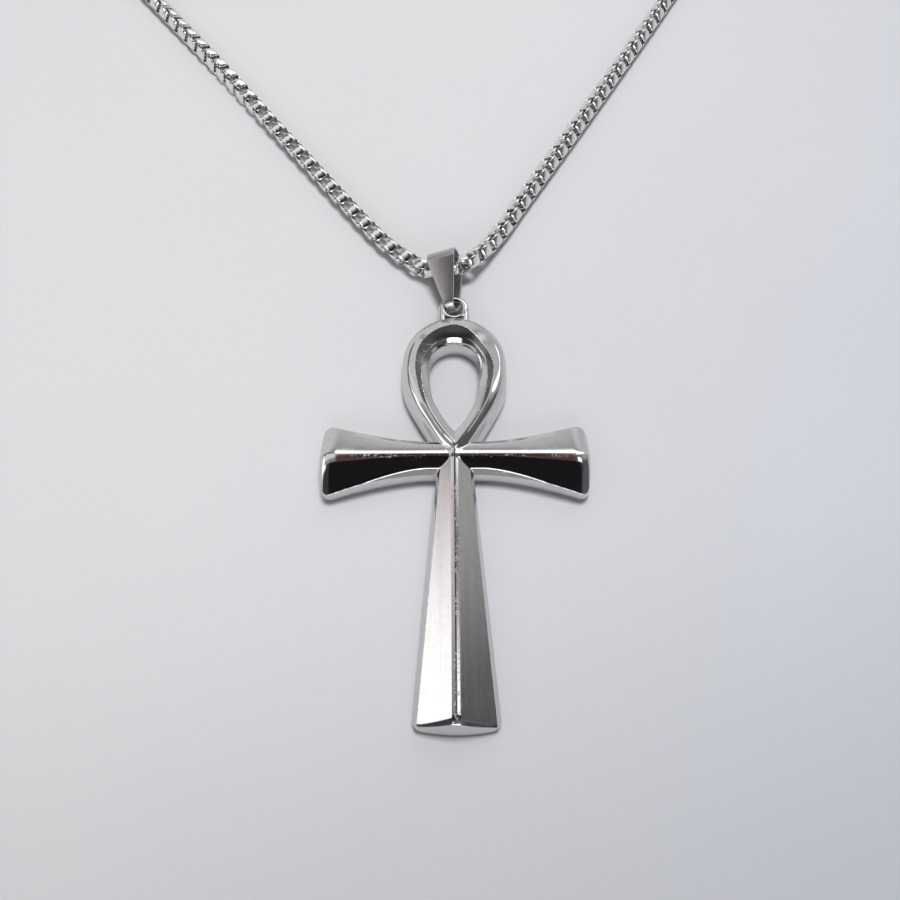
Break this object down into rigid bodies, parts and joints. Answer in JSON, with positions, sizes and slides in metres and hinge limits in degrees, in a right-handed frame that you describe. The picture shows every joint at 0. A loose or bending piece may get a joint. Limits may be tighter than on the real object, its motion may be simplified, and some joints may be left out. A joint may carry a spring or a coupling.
{
  "type": "ankh pendant on a chain",
  "caption": "Polished ankh pendant with flaring ridged arms and a drop-shaped loop, hung by a tapered folded bail on a round box chain and lying on its back.",
  "frame": {"origin": "on the flat back, under the crossing of the stem's and the arms' ridges", "axes": "+X along the right arm, +Y along the loop towards the bail, +Z out of the face"},
  "size_m": [0.168, 0.3049, 0.0061],
  "materials": {
    "polished": "polished steel with fine lengthwise brushing",
    "satin": "satin, with bright edges",
    "links": "polished"
  },
  "bodies": {
    "root": {"ankh": "polished", "bail": "satin", "chain": "links", "clasp": "polished"}
  },
  "joints": []
}
